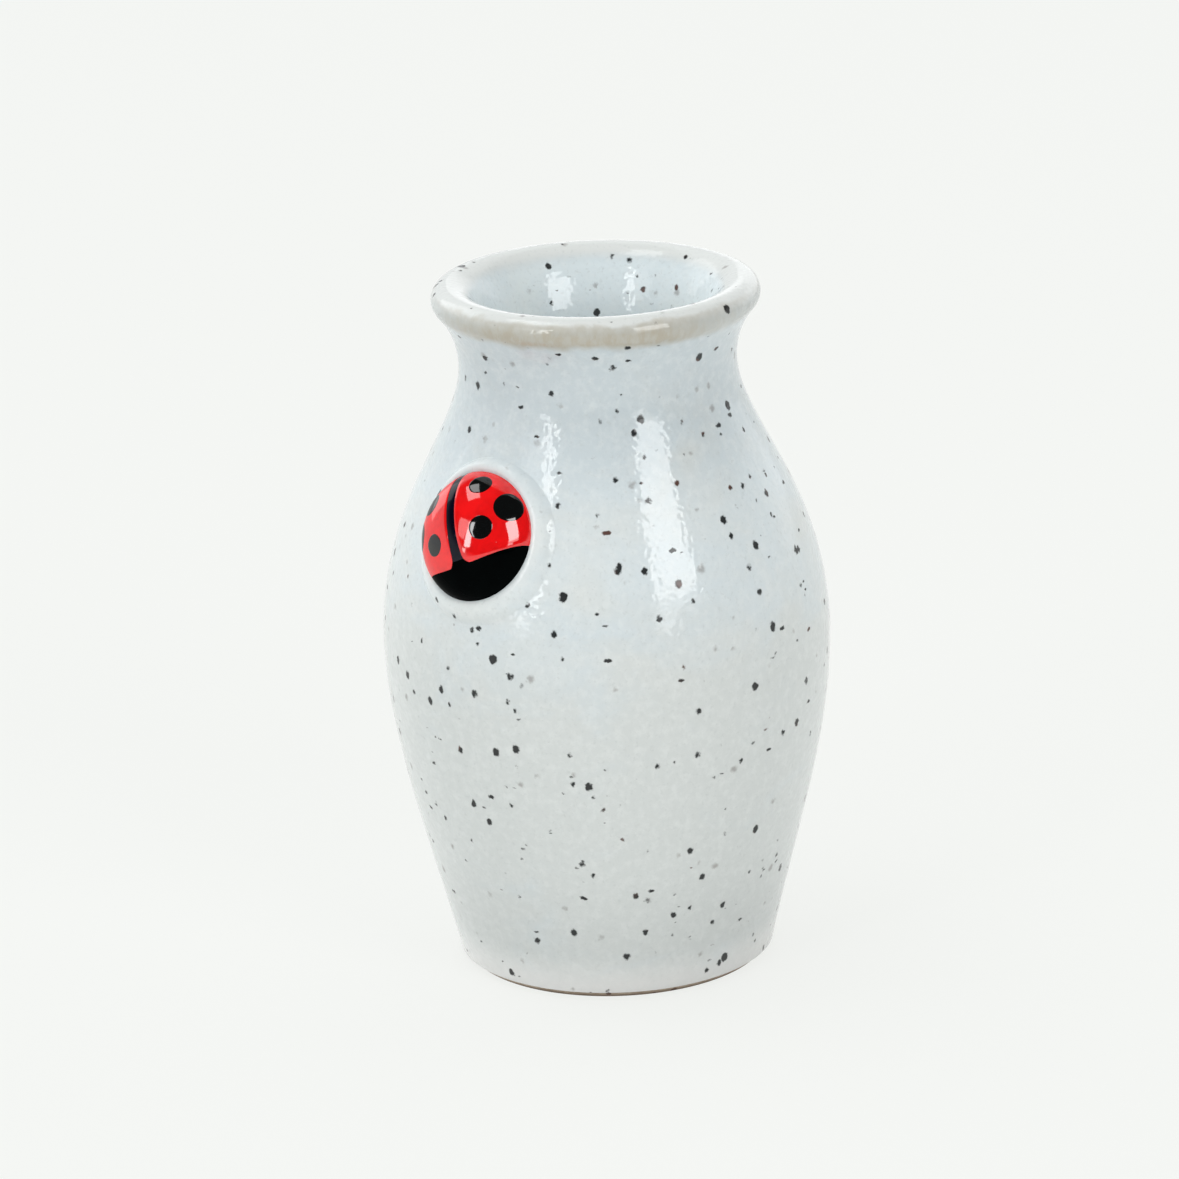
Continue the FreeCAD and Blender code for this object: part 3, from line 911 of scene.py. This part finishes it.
class BUDVASE_OT_collar(bpy.types.Operator):
    """Lay the roll of clay and the cement bed under the glaze"""
    bl_idname = "budvase.collar"
    bl_label = "Collar and bed"

    def execute(self, context):
        pot, bug, finishes = user_values(context)
        place = ladybug_frame(pot, bug)
        clay = bare_clay("collar_stoneware", finishes)
        cement = plain_fired("setting_cement", finishes.cement, 0.8)
        self.ring(pot, bug, place, clay)
        self.bed(bug, place, cement)
        return {"FINISHED"}

    def ring(self, pot, bug, place, clay):
        """A flattened roll that follows the wall, buried just under the glaze."""
        wall = outside(pot, pot.glaze)
        mesh = bmesh.new()
        bmesh.ops.create_circle(mesh, cap_ends=False, segments=96, radius=1)
        rim = mesh.edges[:]
        for _ in range(5):
            grown = bmesh.ops.extrude_edge_only(mesh, edges=rim)["geom"]
            rim = [part for part in grown if isinstance(part, bmesh.types.BMEdge)]
            for vert in {vert for edge in rim for vert in edge.verts}:
                vert.co.z += 0.2
        for vert in mesh.verts:
            share = vert.co.z
            flat = vert.co.xy.normalized()
            reach = 1 / math.hypot(flat.x / bug.half_width, flat.y / bug.half_length)
            reach += (0.1 + 0.9 * share) * MM
            spot = place @ Vector((flat.x * reach, flat.y * reach, 0))
            spot = on_turned_wall(spot, wall)
            swell = 0.2 * MM * math.sin(math.pi * share)
            vert.co = spot + Vector((spot.x, spot.y, 0)).normalized() * swell
        bmesh.ops.solidify(mesh, geom=mesh.faces[:], thickness=0.3 * MM)
        bmesh.ops.recalc_face_normals(mesh, faces=mesh.faces)
        finish_mesh(mesh, "collar_roll", clay, ["bezel_collar"])

    def bed(self, bug, place, cement):
        """A disc of cement that fills the seat under the blank."""
        mesh = bmesh.new()
        bmesh.ops.create_circle(mesh, cap_ends=True, segments=64, radius=1)
        bmesh.ops.scale(mesh, vec=(bug.half_width - bug.enamel,
                                   bug.half_length - bug.enamel, 1), verts=mesh.verts)
        grown = bmesh.ops.extrude_face_region(mesh, geom=mesh.faces[:])["geom"]
        top = [part for part in grown if isinstance(part, bmesh.types.BMVert)]
        bmesh.ops.translate(mesh, vec=(0, 0, -BED_THICKNESS), verts=top)
        bmesh.ops.translate(mesh, vec=(0, 0, -bug.seat_depth), verts=mesh.verts)
        bmesh.ops.transform(mesh, matrix=place, verts=mesh.verts)
        bmesh.ops.recalc_face_normals(mesh, faces=mesh.faces)
        sharpen(mesh, 45)
        finish_mesh(mesh, "cement_bed", cement, ["setting_bed"])


# ---- the stage ----
class StageSettings(bpy.types.PropertyGroup):
    """Camera and lamps"""
    azimuth: turn("Azimuth", 40.4, "Camera to the right of the ladybug")
    distance: size("Distance", 603.6, "Camera to the axis, level with the ground")
    height: size("Height", 241.3, "Camera above the ground")
    tilt: turn("Tilt", 18.17, "Camera looks down by this")
    pan: turn("Pan", -0.175, "Camera looks to the side by this")
    roll: turn("Roll", -2.03, "Camera is rolled by this")
    lens: FloatProperty(name="Lens", description="Focal length in millimetres",
                        default=169.4, min=10)


def direction(stage, side, rise):
    """A unit vector by its degrees to the right of the camera and up."""
    azimuth, elevation = stage.azimuth + math.radians(side), math.radians(rise)
    return Vector((math.sin(azimuth) * math.cos(elevation),
                   -math.cos(azimuth) * math.cos(elevation), math.sin(elevation)))


def aimed(location, target):
    matrix = (target - location).to_track_quat("-Z", "Y").to_matrix().to_4x4()
    matrix.translation = location
    return matrix


class BUDVASE_OT_stage(bpy.types.Operator):
    """Set the pale floor, the soft windows and the camera"""
    bl_idname = "budvase.stage"
    bl_label = "Stage"

    def execute(self, context):
        stage = context.scene.budvase_stage
        self.floor()
        self.world(stage)
        for name, side, rise, width, height, brightness in WINDOWS:
            self.window(stage, name, side, rise, width, height, brightness)
        self.camera(context, stage)
        context.scene.view_settings.view_transform = "Standard"
        return {"FINISHED"}

    def floor(self):
        """A pale floor that shows as studio white but keeps a tenth of its shadow."""
        mesh = bmesh.new()
        bmesh.ops.create_grid(mesh, x_segments=8, y_segments=8, size=4)
        tree = Tree("pale_floor")
        rays = tree.add("ShaderNodeLightPath", {}).outputs
        ray = tree.maths("MAXIMUM", rays["Is Camera Ray"],
                         tree.maths("MAXIMUM", rays["Is Glossy Ray"],
                                    rays["Is Transmission Ray"]))
        lit = tree.add("ShaderNodeBsdfDiffuse", {"Color": (0.88, 0.88, 0.87, 1)})
        white = tree.add("ShaderNodeEmission", {"Color": STUDIO_WHITE})
        mixed = tree.blend(tree.times(ray, 0.9), lit.outputs[0],
                           white.outputs[0])
        tree.add("ShaderNodeOutputMaterial", {"Surface": mixed})
        into_scene(mesh, "floor", tree.owner)

    def world(self, stage):
        """White behind and beside the vase, dim behind the camera."""
        tree = Tree("studio", "worlds")
        bpy.context.scene.world = tree.owner
        around = tree.add("ShaderNodeTexCoord", {}).outputs["Generated"]
        soft = self.room(tree, stage, around, *SOFT_ROOM)
        overhead = tree.between(tree.split(around)["Z"], 0.5, 0.85, 1.0, 2.0)
        mirrored = self.room(tree, stage, around, *MIRRORED_ROOM)
        diffuse, glossy = (
            tree.shine((0.96, 0.985, 1, 1), Strength=light)
            for light in (tree.times(soft, overhead), mirrored))
        rays = tree.add("ShaderNodeLightPath", {}).outputs
        lit = tree.blend(rays["Is Glossy Ray"], diffuse, glossy)
        seen = tree.maths("MAXIMUM", rays["Is Camera Ray"], rays["Is Transmission Ray"])
        mixed = tree.blend(seen, lit, tree.shine(STUDIO_WHITE))
        tree.add("ShaderNodeOutputWorld", {"Surface": mixed})

    def room(self, tree, stage, around, side, rise, *levels):
        """Brightness of a room that is dark around one direction."""
        towards = direction(stage, side, rise)
        return tree.between(tree.along(around, towards), *levels)

    def window(self, stage, name, side, rise, width, height, brightness):
        """A soft upright lamp, placed by its angle to the right of the camera."""
        target = Vector((0, 0, 0.05))
        location = target + LAMP_DISTANCE * direction(stage, side, rise)
        lamp = bpy.data.lights.new(name, "AREA")
        lamp.shape = "RECTANGLE"
        lamp.size, lamp.size_y = width, height
        lamp.energy = brightness * math.pi * width * height
        lamp_object = linked(name, lamp)
        lamp_object.matrix_world = aimed(location, target)
        lamp_object.visible_camera = False

    def camera(self, context, stage):
        data = bpy.data.cameras.new("camera")
        data.lens = stage.lens
        data.sensor_width = 36
        data.clip_start, data.clip_end = 0.02, 20
        camera = linked("camera", data)
        heading = stage.azimuth
        to_axis = Vector((-math.sin(heading), math.cos(heading), 0))
        location = -to_axis * stage.distance + Vector((0, 0, stage.height))
        right = Vector((math.cos(heading), math.sin(heading), 0))
        ahead = to_axis * math.cos(stage.pan) + right * math.sin(stage.pan)
        ahead = ahead * math.cos(stage.tilt) - Vector((0, 0, math.sin(stage.tilt)))
        level = ahead.cross(Vector((0, 0, 1))).normalized()
        upright = level.cross(ahead)
        sideways = level * math.cos(stage.roll) + upright * math.sin(stage.roll)
        upwards = upright * math.cos(stage.roll) - level * math.sin(stage.roll)
        turned_matrix = Matrix((sideways, upwards, -ahead)).transposed().to_4x4()
        turned_matrix.translation = location
        camera.matrix_world = turned_matrix
        context.scene.camera = camera


# the dark side of the room, for matt and for glossy surfaces: degrees to the right of the
# camera, degrees up, the two cosines between which it darkens, brightness outside, inside
SOFT_ROOM = (31, 0, 0.2, 0.42, 0.72, 0.05)
MIRRORED_ROOM = (20, 60, 0.22, 0.4, 0.88, 0.05)

# name, degrees to the right of the camera, degrees up, width, height and brightness
WINDOWS = (
    ("window_right", 39.5, 26, 0.50, 0.56, 6.9),
    ("window_right_low", 38, 11.3, 0.50, 0.09, 2.8),
    ("window_right_sill", 31, 5.5, 0.22, 0.12, 4.0),
    ("window_left", -39, 25, 0.17, 0.62, 8.0),
    ("window_left_sill", -44, 6.5, 0.15, 0.12, 5.0),
    ("curtain_left", -52, 29, 0.31, 0.44, 2.0),
    ("back_left", -130, 28, 0.8, 0.7, 1.15),
    ("back_right", 150, 11, 1.6, 0.5, 0.55),
    ("skylight", -98, 68, 0.62, 0.35, 3.2),
)


class BUDVASE_PT_panel(bpy.types.Panel):
    """Pieces of the bud vase"""
    bl_idname = "BUDVASE_PT_panel"
    bl_label = "Bud vase"
    bl_space_type = "VIEW_3D"
    bl_region_type = "UI"
    bl_category = "Bud vase"

    def draw(self, context):
        for operator in OPERATORS:
            self.layout.operator(operator.bl_idname)
        for group in GROUPS:
            box = self.layout.box()
            settings = getattr(context.scene, group)
            for key in settings.bl_rna.properties.keys():
                if key not in ("rna_type", "name"):
                    box.prop(settings, key)


OPERATORS = (BUDVASE_OT_clay_body, BUDVASE_OT_outer_glaze, BUDVASE_OT_liner_glaze,
             BUDVASE_OT_collar, BUDVASE_OT_ladybug, BUDVASE_OT_stage)
GROUPS = {"budvase_pot": PotSizes, "budvase_bug": LadybugSizes,
          "budvase_finishes": Finishes, "budvase_stage": StageSettings}
CLASSES = (*GROUPS.values(), *OPERATORS, BUDVASE_PT_panel)


def register():
    for each in CLASSES:
        bpy.utils.register_class(each)
    for name, group in GROUPS.items():
        setattr(bpy.types.Scene, name, PointerProperty(type=group))


def unregister():
    for name in GROUPS:
        delattr(bpy.types.Scene, name)
    for each in reversed(CLASSES):
        bpy.utils.unregister_class(each)


def main():
    register()
    bpy.ops.budvase.clay_body()
    bpy.ops.budvase.outer_glaze()
    bpy.ops.budvase.liner_glaze()
    bpy.ops.budvase.collar()
    bpy.ops.budvase.ladybug()
    bpy.ops.budvase.stage()


if __name__ == "__main__":
    main()
